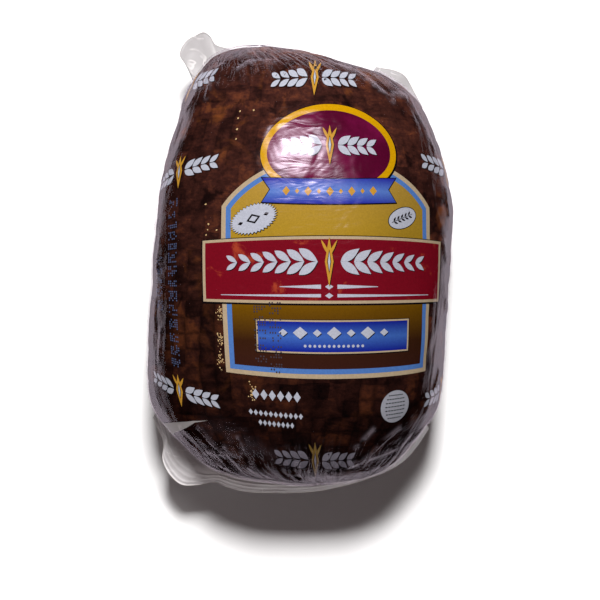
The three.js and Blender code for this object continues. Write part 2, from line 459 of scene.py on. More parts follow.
def meatMaterial():
    s = Shader("smoked_meat")
    place = s.place()
    wander = s.add("TexNoise", {"Vector": place, "Scale": 60.0, "Detail": 3.0}).outputs["Color"]
    wander = s.add("VectorMath", {0: wander, 1: (0.5, 0.5, 0.5)}, operation="SUBTRACT").outputs[0]
    wander = s.add("VectorMath", {0: wander, "Scale": meatLook["wander"]}, operation="SCALE").outputs[0]
    cells = s.add("VectorMath", {0: s.uv(), 1: wander}, operation="ADD").outputs[0]
    cellOf = s.add("VectorMath", {0: cells}, operation="FLOOR").outputs[0]
    chance = s.add("TexWhiteNoise", {"Vector": cellOf}, noise_dimensions="2D").outputs["Value"]
    parts = s.add("SeparateXYZ", {0: s.add("VectorMath", {0: cells}, operation="FRACTION").outputs[0]})
    edges = []
    for axis in (0, 1):
        toMiddle = s.math("ABSOLUTE", s.math("SUBTRACT", parts.outputs[axis], 0.5))
        edges.append(s.remap(toMiddle, *meatLook["cellEdge"]))
    along = s.add("SeparateXYZ", {0: place}).outputs[1]
    pressed = s.remap(along, *meatLook["pressedAlong"], 1.0, 0.5)
    wearAndShade = s.remap(s.noise(place, 24.0, 3.0), 0.36, 0.6)
    groove = s.math("MULTIPLY", s.math("MAXIMUM", *edges), wearAndShade)
    groove = s.math("MULTIPLY", groove, pressed)
    broad = s.noise(place, 48.0, 5.0, 0.58, 0.9)
    patches = s.noise(s.uv((1.1, 1.7, 1.0)), 1.0, 4.0, 0.55, 0.6)
    fibres = s.noise(s.uv((2.2, 6.0, 1.0)), 1.0, 3.0, 0.6, 0.6)
    fine = s.noise(place, 520.0, 4.0, 0.75)
    uneven = s.math("MULTIPLY", s.math("SUBTRACT", chance, 0.5), pressed)
    layers = dict(broad=broad, patches=patches, fibres=fibres, fine=fine, uneven=uneven)
    mottle = s.weighted(*((value, meatLook[name]) for name, value in layers.items()))
    shades = ((0.0, "black"), (0.34, "dark"), (0.62, "brown"), (1.0, "amber"))
    mottle = s.remap(mottle, 0.33, 0.65, smooth=False)
    colour = s.ramp(mottle, [(at, meatLook[shade]) for at, shade in shades])
    smear = s.remap(s.noise(place, 23.0, 4.0, 0.6, 0.8), 0.52, 0.66)
    stain = s.math("MULTIPLY", smear, s.remap(broad, 0.47, 0.58))
    stain = s.math("MULTIPLY", stain, s.remap(along, *meatLook["stainAlong"]))
    colour = s.blend(stain, colour, meatLook["ochre"])
    blot = s.remap(s.noise(place, 40.0, 4.0, 0.6, 0.9), 0.585, 0.68)
    colour = s.blend(s.math("MULTIPLY", blot, 0.8), colour, meatLook["black"])
    colour = s.blend(s.math("MULTIPLY", groove, meatLook["grooveDark"]), colour, meatLook["black"])
    # painted shade and light: the meat is dimmed to about a quarter towards the sealed end and brightened
    # by a quarter towards the closed end
    colour = s.toned(colour, s.remap(along, *meatLook["paintedLightAndShadeAlong"], smooth=False))
    skin = s.add("BsdfPrincipled", {
        "Base Color": colour, "Roughness": meatLook["roughness"], "Specular IOR Level": 0.0,
        "Normal": s.bump(s.math("SUBTRACT", fine, s.math("MULTIPLY", groove, 0.8)), 0.5, 0.0004)})
    return s.finish(skin.outputs[0])


# Film

filmLook = dict(
    gloss=0.18, softGloss=0.26, softShare=0.64,  # roughness of the crisp and of the soft reflection
    straightOn=0.015, mostMirrored=0.15,  # share mirrored face on, and at the rim
    faceOn=(0.14, 0.3), rim=(0.35, 0.66),  # where the one ends and the other grows, 0 face on, 1 edge on
    wide=0.5, drawn=1.1, patchy=0.12, pleats=0.22,  # heights of the waves
    waves=(0.8, 0.0022),  # strength and depth of them all
    # fold is the creases' pale colour, partly whitened film, partly painted sheen
    sheen=(0.94, 0.82, 0.96), fold=albedo(190, 176, 188), foldWhiteAndSheenShare=0.27, pleatShare=0.8)


def clearFilmMaterial():
    s = Shader("clear_shrink_film")
    strain, fold, gather = (s.add("Attribute", attribute_name=name).outputs["Fac"]
                            for name in ("strain", "fold", "gather"))
    wide = s.noise(s.place(), 44.0, 2.0, 0.5, 0.6)
    patchy = s.noise(s.place((0.45, 1.5, 1.0)), 110.0, 2.5, 0.55, 0.8)
    drawn = s.noise(s.uv((0.7, 0.16, 1.0)), 1.0, 2.5, 0.5, 0.5)
    pleats = s.noise(s.uv((2.4, 0.24, 1.0)), 1.0, 2.5, 0.55, 0.8)
    pleats = s.remap(s.math("ABSOLUTE", s.math("SUBTRACT", pleats, 0.5)), 0.0, 0.03, 1.0, 0.0)
    pleats = s.math("MULTIPLY", pleats, gather)
    layers = dict(wide=wide, drawn=s.math("MULTIPLY", drawn, strain), patchy=patchy, pleats=pleats)
    height = s.weighted(*((value, filmLook[name]) for name, value in layers.items()))
    normal = s.bump(height, *filmLook["waves"])
    facing = s.add("LayerWeight", {"Blend": 0.5, "Normal": normal}).outputs["Facing"]
    crisp = s.add("BsdfGlossy", {"Color": filmLook["sheen"], "Roughness": filmLook["gloss"],
                                 "Normal": normal})
    soft = s.add("BsdfGlossy", {"Color": filmLook["sheen"], "Roughness": filmLook["softGloss"],
                                "Normal": normal}, distribution="BECKMANN")
    mirror = s.add("MixShader", {0: filmLook["softShare"], 1: crisp.outputs[0], 2: soft.outputs[0]})
    # pale colour on the pulled folds and the pleats: partly the whitened film of the creases, partly
    # painted sheen for their streaks of reflection
    creaseWhiteAndSheen = s.add("BsdfDiffuse", {"Color": filmLook["fold"]})
    clear = s.add("BsdfTransparent", {"Color": (0.97, 0.965, 0.965)})
    top = s.remap(facing, *filmLook["faceOn"], filmLook["straightOn"], 0.0)
    edge = s.math("MAXIMUM", top, s.remap(facing, *filmLook["rim"], 0.0, filmLook["mostMirrored"]))
    broken = s.remap(s.noise(s.place(), 130.0, 3.0), 0.35, 0.6)
    creased = s.math("MAXIMUM", fold, s.math("MULTIPLY", pleats, filmLook["pleatShare"]))
    share = s.math("MULTIPLY", s.math("MULTIPLY", creased, broken), filmLook["foldWhiteAndSheenShare"])
    body = s.add("MixShader", {0: share, 1: clear.outputs[0], 2: creaseWhiteAndSheen.outputs[0]})
    skin = s.add("MixShader", {0: edge, 1: body.outputs[0], 2: mirror.outputs[0]})
    return s.finish(skin.outputs[0])


looseLook = dict(  # colour and cover of the film, of its creases and of its rim; the film at the seal is a far paler copy, painted light on film that lies in the ham's shadow
    # each rim is paler than its film, a painted highlight along the cut edge
    upper=((0.33, 0.315, 0.32), 0.74), upperRimPaintedHighlight=((0.4, 0.375, 0.37), 0.85),
    lowerPaintedLight=((0.7, 0.68, 0.69), 0.72), lowerRimPaintedLight=((0.92, 0.89, 0.87), 0.9),
    folded=((0.55, 0.525, 0.515), 0.42), crease=(0.85, 0.82, 0.81), roughness=0.42)


def looseFilmMaterial(name, colour, cover):
    s = Shader(name)
    folds = s.noise(s.place(), 45.0, 2.0, 0.5, 0.8)
    ridge = s.math("ABSOLUTE", s.math("SUBTRACT", s.noise(s.place(), 40.0, 2.5, 0.5, 1.2), 0.5))
    line = s.remap(ridge, 0.006, 0.024, 1.0, 0.0)
    line = s.math("MULTIPLY", line, s.remap(s.noise(s.place(), 70.0, 2.0), 0.45, 0.62))
    normal = s.bump(folds, 0.4, 0.003)
    normal = s.bump(s.noise(s.place(), 260.0, 2.0, 0.5), 0.12, 0.0005, normal)
    # pale crease lines: partly the film's whitened creases, partly painted highlight
    tone = s.blend(s.math("MULTIPLY", line, 0.35), colour, looseLook["crease"])
    skin = s.add("BsdfPrincipled", {"Base Color": tone, "Roughness": looseLook["roughness"],
                                    "Specular IOR Level": 0.3, "Normal": normal})
    clear = s.add("BsdfTransparent", {"Color": (0.97, 0.96, 0.96)})
    share = s.math("ADD", s.math("MULTIPLY", line, 0.1), cover - 0.05)  # the folds give this back below
    share = s.math("ADD", share, s.math("MULTIPLY", folds, 0.1), clamp=True)
    skin = s.add("MixShader", {0: share, 1: clear.outputs[0], 2: skin.outputs[0]})
    return s.finish(skin.outputs[0])


# Loose film: the fin beyond the seal and the ears. Root and rim are in plan, as in the solid

flaps = dict(
    seal_fin=dict(
        root=((-84, -84), (-83, -98), (-72, -110), (-58, -121), (-36, -129), (0, -131.5), (32, -129),
              (50, -122), (62, -114), (72, -103), (76, -96)),
        rim=((-94.5, -98), (-91.5, -104.5), (-87.6, -114.6), (-88.2, -124.7), (-83.7, -134.9),
             (-76, -141.2), (-66, -141.6), (-55, -140), (-46, -143.3), (-35.4, -145.9), (-10, -146.9),
             (9, -146), (32, -141.5), (56, -133.1), (67.6, -126.2), (76, -116.5), (83.5, -105.5)),
        level=54, fall=(7, 16), ripples=10, rippleHeight=0.9, steps=460, rows=44, crumple=0.8,
        seams=((0.62, 0.45), (0.76, 0.35), (0.9, 0.5))),
    left_ear=dict(
        root=((-44, 125), (-50, 122), (-56, 117.5), (-61, 111), (-64, 104)),
        rim=((-44.5, 137.5), (-53.7, 140.2), (-57.4, 145.7), (-61.4, 148.3), (-66, 146.7), (-71.5, 143.8),
             (-75.7, 138.4), (-76.6, 133), (-73.5, 128.2), (-70.5, 122.3), (-67.5, 116)),
        level=60, fall=(5, 5), ripples=1.5, rippleHeight=1.6, steps=130, rows=64, crumple=0.5, seams=()),
    right_ear=dict(
        root=((67, 95), (63, 102), (57, 108), (50, 112), (42, 115)),
        rim=((79, 101), (74.3, 110.2), (70.8, 117.4), (67, 122.4), (59.5, 126), (49, 128)),
        level=54, fall=(9, 14), ripples=2, rippleHeight=1.2, steps=120, rows=44, crumple=0.7, seams=()))


def smoothLine(points, count):  # a curve through the points, as evenly spaced points
    p = np.array(points, float)
    p = np.vstack([2 * p[0] - p[1], p, 2 * p[-1] - p[-2]])
    gap = np.linalg.norm(np.diff(p, axis=0), axis=1) ** 0.5
    t = np.linspace(0, 1, 40)[:, None]
    line = []
    for i in range(1, len(p) - 2):
        before, here, after = gap[i - 1:i + 2]
        chord = (p[i + 1] - p[i]) / here
        pullIn = (p[i] - p[i - 1]) / before - (p[i + 1] - p[i - 1]) / (before + here) + chord
        pullOut = chord - (p[i + 2] - p[i]) / (here + after) + (p[i + 2] - p[i + 1]) / after
        line.append(hermite(p[i], p[i + 1], pullIn * here, pullOut * here, t))
    line = np.vstack(line)
    run = np.concatenate([[0], np.cumsum(np.linalg.norm(np.diff(line, axis=0), axis=1))])
    even = np.linspace(0, run[-1], count)
    return np.stack([np.interp(even, run, line[:, axis]) for axis in range(line.shape[1])], -1)


looseForm = dict(
    crumpleScales=(1 / 13, 1 / 4.5), fineShare=0.35, lip=0.7, thickness=0.2,
    seamWidth=0.022, seamWander=0.02)


def flapPiece(name, flap, materials):
    steps, rows = flap["steps"], flap["rows"]
    share = np.linspace(0, 1, steps + 1)[None, :]
    out = np.linspace(0, 1, rows + 1)[:, None]
    root, rim = (smoothLine(flap[edge], steps + 1) - hamForm["packMiddle"] for edge in ("root", "rim"))
    plan = root[None] * (1 - out[..., None]) + rim[None] * out[..., None]
    ripple = flap["rippleHeight"] * np.sin(2 * math.pi * flap["ripples"] * share)
    drop = flap["fall"][0] * (1 - share) + flap["fall"][1] * share
    z = flap["level"] + ripple * out - drop * out**2
    grid = np.concatenate([plan, z[..., None]], -1)
    coarse, fine = looseForm["crumpleScales"]
    crumple = noiseField(grid, coarse, 1) + looseForm["fineShare"] * noiseField(grid, fine, 2)
    grid[..., 2] += flap["crumple"] * out * crumple
    for place, height in flap["seams"]:
        wave = place + looseForm["seamWander"] * noiseField(grid, 1 / 9, 7)
        grid[..., 2] += height * np.exp(-(((out - wave) / looseForm["seamWidth"]) ** 2))
    grid[..., 2] += looseForm["lip"] * smoothStep(out, 0.95, 1.0)
    uvs = np.stack(np.broadcast_arrays(share * steps / 40, out * rows / 40), -1)
    faces, kinds = [], []
    for row in range(rows):
        for step in range(steps):
            a = row * (steps + 1) + step
            faces.append((a, a + steps + 1, a + steps + 2, a + 1))
            # the last row takes the rim's paler material, a painted highlight along the cut edge
            kinds.append(1 if row >= rows - 1 else 0)
    piece = newPiece(name, grid.reshape(-1, 3), faces, materials, uvs.reshape(-1, 2), kinds)
    thick = piece.modifiers.new("film", "SOLIDIFY")
    thick.thickness = looseForm["thickness"] * mm
    thick.offset = 0
    return piece


# Print: outlines in the flat layout, laid on the film


def onFilm(across, along, layer):
    middle = printLayout["middle"]
    station = middle[1] + along * (1 - printLayout["bow"] * across**2)
    phase = phaseAt(np.clip(station, hamForm["sealedTip"][0] + 0.3, hamForm["closedTip"][0] - 0.3))
    left, right = edgesAt(phase)
    arc = middle[0] + across * printWidth(station) - (left + right) / 2
    lift = layer * printLayout["layer"] - printLayout["depth"]
    return skinPoint(phase, shareAt(phase, arc), lift, relief["netOnPrint"])


class PrintSheet:
    def __init__(self, name, materials):
        self.name, self.materials, self.mesh = name, materials, bmesh.new()

    def add(self, outline, layer, ink):
        area = sum(a[0] * b[1] - b[0] * a[1] for a, b in zip(outline, outline[1:] + outline[:1]))
        outline = outline if area > 0 else outline[::-1]
        corners = [self.mesh.verts.new((x, y, layer)) for x, y in outline]
        self.mesh.faces.new(corners).material_index = ink

    def finish(self):
        b = self.mesh
        b.normal_update()
        bmesh.ops.triangulate(b, faces=b.faces[:])
        for axis in (0, 1):
            reach = [v.co[axis] for v in b.verts]
            cut = math.floor(min(reach) / printLayout["cell"]) + 1
            while cut * printLayout["cell"] < max(reach):
                plane, across = Vector((0, 0, 0)), Vector((0, 0, 0))
                plane[axis], across[axis] = cut * printLayout["cell"], 1
                bmesh.ops.bisect_plane(b, geom=b.verts[:] + b.edges[:] + b.faces[:],
                                       plane_co=plane, plane_no=across, dist=1e-4)
                cut += 1
        bmesh.ops.triangulate(b, faces=b.faces[:])
        b.verts.index_update()
        flat = np.array([v.co[:] for v in b.verts])
        points = onFilm(flat[:, 0], flat[:, 1], flat[:, 2])
        faces = [[v.index for v in f.verts] for f in b.faces]
        inks = [f.material_index for f in b.faces]
        b.free()
        return newPiece(self.name, points, faces, self.materials, flat[:, :2] / 100, inks)


def turned(outline, middle, tilt):
    c, s = math.cos(tilt), math.sin(tilt)
    return [(middle[0] + x * c - y * s, middle[1] + x * s + y * c) for x, y in outline]


def oval(middle, half, tilt=0.0, count=64):
    turns = [2 * math.pi * i / count for i in range(count)]
    return turned([(half[0] * math.cos(a), half[1] * math.sin(a)) for a in turns], middle, tilt)


def zigzag(middle, half, tilt, teeth=38, bite=0.13):
    points = oval((0, 0), half, 0.0, teeth * 2)
    points = [(x * (1 - bite * (i % 2)), y * (1 - bite * (i % 2))) for i, (x, y) in enumerate(points)]
    return turned(points, middle, tilt)


def box(low, high):
    return [(low[0], low[1]), (high[0], low[1]), (high[0], high[1]), (low[0], high[1])]


def leaf(middle, length, width, tilt):
    sides = [i / 9 for i in range(10)]
    top = [(length * (t - 0.5), width / 2 * math.sin(math.pi * t**0.85)) for t in sides]
    low = [(x, -y) for x, y in top[-2:0:-1]]
    return turned(top + low, middle, tilt)


def lozenge(middle, width, height, tilt=0.0):
    return turned([(-width / 2, 0), (0, -height / 2), (width / 2, 0), (0, height / 2)], middle, tilt)


def arch(half, low, spring, rise, corner, inset=0.0):
    side, top = half - inset, rise - inset * 0.6
    turns = [corner + (math.pi - 2 * corner) * i / 40 for i in range(41)]
    grow = 1 / (1 - math.sin(corner))
    curve = [(side * math.cos(turn) / math.cos(corner),
              spring - inset * 0.4 + top * (math.sin(turn) - math.sin(corner)) * grow) for turn in turns]
    return [(-side, low + inset), (side, low + inset)] + curve


# Inks

inkColours = dict(
    cream=albedo(190, 170, 140), skyBlue=albedo(84, 128, 198), crimson=albedo(124, 14, 31),
    silver=albedo(192, 196, 210), black=albedo(18, 13, 16), showThrough=albedo(206, 92, 52),
    burgundy=albedo(108, 14, 60), burgundyDark=albedo(84, 8, 42), rimYellow=albedo(214, 160, 4),
    royalBlue=albedo(46, 52, 168), paleBlue=albedo(92, 128, 206), gold=albedo(204, 152, 54),
    stampBlue=albedo(86, 100, 136), stampDark=albedo(72, 62, 70), grey=albedo(168, 170, 180))

inkLook = dict(
    grain=900.0, plainGrain=(0.9, 1.08), gradientGrain=(0.92, 1.07),  # size, least and most tone
    shadedFrom=0.0, shadedTo=0.09, plainShade=0.8, gradientShade=0.68,  # painted shade: dimmer towards the right
    roughness=0.6)


def inkGrain(s, least, most):
    return s.remap(s.noise(s.place(), inkLook["grain"], 3.0, 0.7), 0.3, 0.7, least, most)


def finishInk(s, colour, shade):
    # painted shade: the ink is darkened towards the right, where the face seemed less lit
    colour = s.paintedShadeAcross(colour, inkLook["shadedFrom"], inkLook["shadedTo"], shade)
    skin = s.add("BsdfPrincipled", {"Base Color": colour, "Roughness": inkLook["roughness"],
                                    "Specular IOR Level": 0.0})
    return s.finish(skin.outputs[0])


def inkMaterial(name, colour, second=None, showThrough=0.0):
    s = Shader(name)
    if second is not None:
        colour = s.blend(s.remap(s.noise(s.place(), 40.0, 3.0), 0.42, 0.6), colour, second)
    colour = s.toned(colour, inkGrain(s, *inkLook["plainGrain"]))
    if showThrough:
        patches = s.noise(s.place(), 75.0, 5.0, 0.65, 0.4)
        under = s.remap(patches, 0.58, 0.72, 0.0, showThrough)
        colour = s.blend(under, colour, inkColours["showThrough"])
    return finishInk(s, colour, inkLook["plainShade"])


def gradientInk(name, stops, low, high):  # colours along the print, low and high in millimetres
    s = Shader(name)
    along = s.add("SeparateXYZ", {0: s.uv()}).outputs[1]
    colour = s.ramp(s.remap(along, low / 100, high / 100, smooth=False), stops)
    colour = s.toned(colour, inkGrain(s, *inkLook["gradientGrain"]))
    return finishInk(s, colour, inkLook["gradientShade"])


# Label panel

panel = dict(
    half=66.4, low=-59.2, spring=48.5, rise=28.0,
    corner=0.4,  # how bluntly the arch meets the sides
    cream=2.8, blue=3.1,  # width of the two borders
    goldFrom=-56, goldTo=60,
    gold=((0.0, (60, 30, 24)), (0.16, (60, 32, 16)), (0.33, (112, 76, 8)), (0.47, (146, 104, 10)),
          (0.75, (178, 142, 42)), (1.0, (180, 144, 60))))


def labelPanel():
    stops = [(at, albedo(*colour)) for at, colour in panel["gold"]]
    field = gradientInk("panel_gold", stops, panel["goldFrom"], panel["goldTo"])
    sheet = PrintSheet("label_panel", [inkMaterial("ink_cream", inkColours["cream"]),
                                       inkMaterial("ink_sky_blue", inkColours["skyBlue"]), field])
    size = [panel[key] for key in ("half", "low", "spring", "rise", "corner")]
    for ink, inset in enumerate((0.0, panel["cream"], panel["cream"] + panel["blue"])):
        sheet.add(arch(*size, inset), ink, ink)
    return sheet.finish()


# Garlands: rows of leaves on both sides of a gold lozenge

def garland(sheet, middle, reach, leafSize, inks, layer, tilt=0.0, rows=4, shadow=(0.45, -0.5)):
    silver, gold, black = inks
    shapes = []
    for side in (-1, 1):
        for i in range(rows):
            grow = 1 - 0.07 * i
            x = side * (leafSize[0] * 0.62 + (reach - leafSize[0]) * (i + 0.5) / rows)
            for lift in (-1, 1):
                spot = (x, lift * leafSize[1] * 0.72 * grow)
                blade = leaf((0, 0), leafSize[0] * grow, leafSize[1] * grow, side * lift * 0.62)
                shapes.append((blade, spot, silver))
    height = leafSize[1] * 5.6
    for lift in (-1, 1):
        petal = leaf((0, 0), height * 0.4, 1.7, lift * 1.1)
        shapes.append((petal, (lift * 2.2, height * 0.26), gold))
    shapes.append((lozenge((0, 0), 5.2, height), (0, 0), gold))
    for outline, spot, ink in shapes:
        at = turned([spot], middle, tilt)[0]
        under = (at[0] + shadow[0], at[1] + shadow[1])
        sheet.add(turned(outline, under, tilt), layer, black)
    for outline, spot, ink in shapes:
        at = turned([spot], middle, tilt)[0]
        sheet.add(turned(outline, at, tilt), layer + 1, ink)
    sheet.add(lozenge(middle, 2.4, height * 0.5, tilt), layer + 2, black)
    sheet.add(lozenge(middle, 1.5, height * 0.4, tilt), layer + 3, silver)


def simpleInks():
    return [inkMaterial("ink_silver", inkColours["silver"]), inkMaterial("ink_gold", inkColours["gold"]),
            inkMaterial("ink_black", inkColours["black"])]


# Banner across the panel

banner = dict(
    low=(-78.3, -13.8), high=(76.4, 26.8), border=1.8, showThrough=0.5,
    garlandHeight=11.5, garlandReach=68.0, leaf=(14.0, 5.4),
    bars=((-3.6, 30, 1.3), (-9.0, 66, 1.0)))  # height, reach, thickness


def labelBanner():
    red = inkMaterial("ink_crimson", inkColours["crimson"], showThrough=banner["showThrough"])
    inks = simpleInks() + [inkMaterial("ink_banner_cream", inkColours["cream"]), red]
    sheet = PrintSheet("label_banner", inks)
    low, high, edge = banner["low"], banner["high"], banner["border"]
    shade = ((low[0] - 0.8, low[1] - 1.1), (high[0] + 0.8, high[1] + 0.5))
    sheet.add(box(*shade), 4, 2)
    sheet.add(box(low, high), 5, 3)
    sheet.add(box((low[0] + edge, low[1] + edge), (high[0] - edge, high[1] - edge)), 6, 4)
    middle = (low[0] + high[0]) / 2
    spot = (middle, banner["garlandHeight"])
    garland(sheet, spot, banner["garlandReach"], banner["leaf"], (0, 1, 2), 7, rows=7)
    for height, reach, thick in banner["bars"]:
        for side in (-1, 1):
            bar = [(middle + side * 5, height - thick), (middle + side * reach, height - 0.2),
                   (middle + side * reach, height + 0.2), (middle + side * 5, height + thick)]
            sheet.add(bar, 7, 0)
        sheet.add(lozenge((middle, height), 5.0, 3.4), 7, 0)
    return sheet.finish()


# Medallion: an oval field in a yellow rim, with a plain blue band over its foot

medallion = dict(
    middle=(-0.5, 79.0), half=(42.5, 28.4), rim=4.0, garlandReach=33.0, leaf=(10.0, 4.4),
    bandReach=41.0, bandNotch=36.0, bandLow=48.6, bandMiddle=56.1, bandHigh=63.6, bandSag=2.4,
    bandBlue=(47, 62.5), stonePitch=6.6, stones=(4.6, 2.6))


def labelMedallion():
    royal, pale = inkColours["royalBlue"], inkColours["paleBlue"]
    inks = simpleInks() + [inkMaterial("ink_rim_yellow", inkColours["rimYellow"]),
                           inkMaterial("ink_burgundy", inkColours["burgundy"], inkColours["burgundyDark"])]
    stops = [(0.0, royal), (0.5, pale), (1.0, royal)]
    inks.append(gradientInk("ink_band_blue", stops, *medallion["bandBlue"]))
    sheet = PrintSheet("label_medallion", inks)
    middle, half, rim = medallion["middle"], medallion["half"], medallion["rim"]
    sheet.add(oval((middle[0] + 0.4, middle[1] - 0.5), (half[0] + 0.7, half[1] + 0.7), count=96), 3, 2)
    sheet.add(oval(middle, half, count=96), 4, 3)
    sheet.add(oval(middle, (half[0] - rim, half[1] - rim), count=96), 5, 4)
    spot = (middle[0], middle[1] + 3)
    garland(sheet, spot, medallion["garlandReach"], medallion["leaf"], (0, 1, 2), 6, rows=4)
    level, sag = medallion["bandMiddle"], medallion["bandSag"]
    for grow, layer, ink in ((0.6, 12, 2), (0.0, 13, 5)):
        reach, notch = medallion["bandReach"] + grow * 1.5, medallion["bandNotch"] + grow
        line = [(i / 12 * reach, -sag * (1 - (i / 12) ** 2)) for i in range(-12, 13)]
        under = [(x, medallion["bandLow"] - grow + drop) for x, drop in line]
        over = [(x, medallion["bandHigh"] + grow + drop) for x, drop in reversed(line)]
        band = under + [(notch, level)] + over + [(-notch, level)]
        sheet.add([(x + middle[0], y) for x, y in band], layer, ink)
    for i in range(-4, 5):
        size = medallion["stones"][i % 2]
        x = i * medallion["stonePitch"]
        spot = (middle[0] + x, level - sag * (1 - (x / medallion["bandReach"]) ** 2))
        sheet.add(lozenge(spot, size, size * 1.25), 14, 1)
    return sheet.finish()


# Blue box under the banner

blueBox = dict(
    low=(-46.0, -44.0), high=(50.2, -23.8), border=1.0, blueFrom=-43, blueTo=-24.8,
    blue=((0.0, (18, 28, 150)), (0.5, (66, 108, 192)), (1.0, (18, 28, 146))),
    stonesAlong=-31.5, stonePitch=10.5, stones=(7.5, 4.5),
    dotsAlong=-39.4, dotPitch=3.0, dot=(0.9, 0.9))


def labelBox():
    stops = [(at, albedo(*colour)) for at, colour in blueBox["blue"]]
    field = gradientInk("ink_box_blue", stops, blueBox["blueFrom"], blueBox["blueTo"])
    cream = inkMaterial("ink_box_cream", inkColours["cream"])
    sheet = PrintSheet("label_box", simpleInks() + [cream, field])
    low, high, edge = blueBox["low"], blueBox["high"], blueBox["border"]
    sheet.add(box((low[0] - 0.5, low[1] - 0.7), (high[0] + 0.5, high[1] + 0.4)), 3, 2)
    sheet.add(box(low, high), 4, 3)
    sheet.add(box((low[0] + edge, low[1] + edge), (high[0] - edge, high[1] - edge)), 5, 4)
    middle = (low[0] + high[0]) / 2
    for i in range(-3, 4):
        size = blueBox["stones"][i % 2]
        spot = (middle + i * blueBox["stonePitch"], blueBox["stonesAlong"])
        sheet.add(lozenge((spot[0] + 0.4, spot[1] - 0.5), size * 1.2, size), 6, 2)
        sheet.add(lozenge(spot, size * 1.2, size), 7, 0)
    for i in range(-6, 7):
        spot = (middle + i * blueBox["dotPitch"], blueBox["dotsAlong"])
        sheet.add(oval(spot, blueBox["dot"], count=12), 6, 0)
    return sheet.finish()


# Seals on the panel and below it: a toothed star, an oval with a sprig, a disc with rows of dashes

seals = dict(
    star=(-46.6, 38.6), starHalf=(14.8, 9.1), starTilt=0.32, studReach=8.2,
    sprig=(45.4, 39.4), sprigHalf=(10.1, 6.1), sprigTilt=0.42, sprigLeaf=(3.0, 1.2), leafPitch=2.8,
    disc=(43.4, -78.6), discHalf=(10.0, 10.2), rowPitch=2.4, dashes=7, dashFill=0.7, dashHalf=0.35)


def starSeal(sheet):
    star, half, tilt = seals["star"], seals["starHalf"], seals["starTilt"]
    sheet.add(zigzag((star[0] + 0.15, star[1] - 0.15), (half[0] + 0.6, half[1] + 0.6), tilt), 4, 2)
    sheet.add(zigzag(star, half, tilt), 5, 0)
    sheet.add(lozenge(star, 9.0, 6.4, tilt), 6, 2)
    sheet.add(lozenge(star, 5.6, 3.8, tilt), 7, 0)
    for side in (-1, 1):
        spot = turned([(side * seals["studReach"], 0.0)], star, tilt)[0]
        sheet.add(lozenge(spot, 3.6, 2.2, tilt), 6, 2)


def sprigSeal(sheet):
    sprig, half, tilt = seals["sprig"], seals["sprigHalf"], seals["sprigTilt"]
    sheet.add(oval(sprig, (half[0] + 0.5, half[1] + 0.5), tilt), 4, 2)
    sheet.add(oval(sprig, half, tilt), 5, 0)
    for i in range(-2, 3):
        for side in (-1, 1):
            spot = turned([(i * seals["leafPitch"], side * 1.25)], sprig, tilt)[0]
            sheet.add(leaf(spot, *seals["sprigLeaf"], tilt + side * 0.7), 6, 2)
    sheet.add(turned([(-8.2, -0.2), (7.4, -0.15), (7.4, 0.15), (-8.2, 0.2)], sprig, tilt), 6, 2)


def discSeal(sheet):
    disc, half, dashes, thick = (seals[key] for key in ("disc", "discHalf", "dashes", "dashHalf"))
    sheet.add(oval(disc, half), 4, 3)
    for i in range(-3, 4):
        height = i * seals["rowPitch"]
        reach = 0.72 * math.sqrt(half[0] ** 2 - height**2)
        pitch = 2 * reach / dashes
        for j in range(dashes):
            x = disc[0] - reach + pitch * (j + 0.15)
            y = disc[1] + height
            sheet.add(box((x, y - thick), (x + pitch * seals["dashFill"], y + thick)), 5, 2)


def labelSeals():
    sheet = PrintSheet("label_seals", simpleInks() + [inkMaterial("ink_grey", inkColours["grey"])])
    for seal in (starSeal, sprigSeal, discSeal):
        seal(sheet)
    return sheet.finish()


# Garlands round the panel, and the short rows of lozenges below it

marks = dict(
    places=((-10.0, 125.0, -0.03), (-98.0, 79.0, 0.0), (90.5, 79.0, 0.0), (-101.0, -80.0, 0.0),
            (96.5, -79.0, 0.0), (-10.5, -110.0, 0.0), (-104.0, 148.0, -0.25)),
    reach=31.5, leaf=(9.0, 4.3),
    # painted shade: garlands low along the print, towards the sealed end, take darker silver and gold
    paintedShadeBelow=-100.0, paintedShadeSilver=albedo(128, 124, 136), paintedShadeGold=albedo(120, 96, 48))


def borderMarks():
    # darker silver and gold, painted shade for the lowest garland
    wearAndShade = [inkMaterial("ink_painted_shade_silver", marks["paintedShadeSilver"]),
            inkMaterial("ink_painted_shade_gold", marks["paintedShadeGold"])]
    sheet = PrintSheet("border_marks", simpleInks() + wearAndShade)
    for across, along, tilt in marks["places"]:
        inks = (3, 4, 2) if along < marks["paintedShadeBelow"] else (0, 1, 2)
        garland(sheet, (across, along), marks["reach"], marks["leaf"], inks, 0, tilt, rows=4)
    return sheet.finish()


smallPrint = dict(
    rows=((-35.0, -70.8, 32.0, 6.6, 6),  # middle, along, width, height, count
          (-36.0, -82.6, 36.0, 3.8, 11), (-36.0, -88.6, 24.0, 3.8, 8)),
    fill=0.86)


def smallRows():
    sheet = PrintSheet("small_rows", simpleInks())
    for middle, along, width, height, count in smallPrint["rows"]:
        pitch = width / count
        for i in range(count):
            x = middle - width / 2 + pitch * (i + 0.5)
            sheet.add(lozenge((x, along), pitch * smallPrint["fill"], height), 1, 0)
    return sheet.finish()


# Stamp: two columns of small dots down the left, and two darker ones on the panel

stamp = dict(
    columns=((-104.5, -62, 62, 0), (-118.5, -22, 18, 0),  # across, low, high, ink
             (-46.8, -50, -16, 1), (-37.2, -56, -16, 1)),
    pitch=1.6, dots=5, filled=0.6, dot=(0.5, 0.62), astray=0.15, gap=(1.6, 3.0), layer=8)


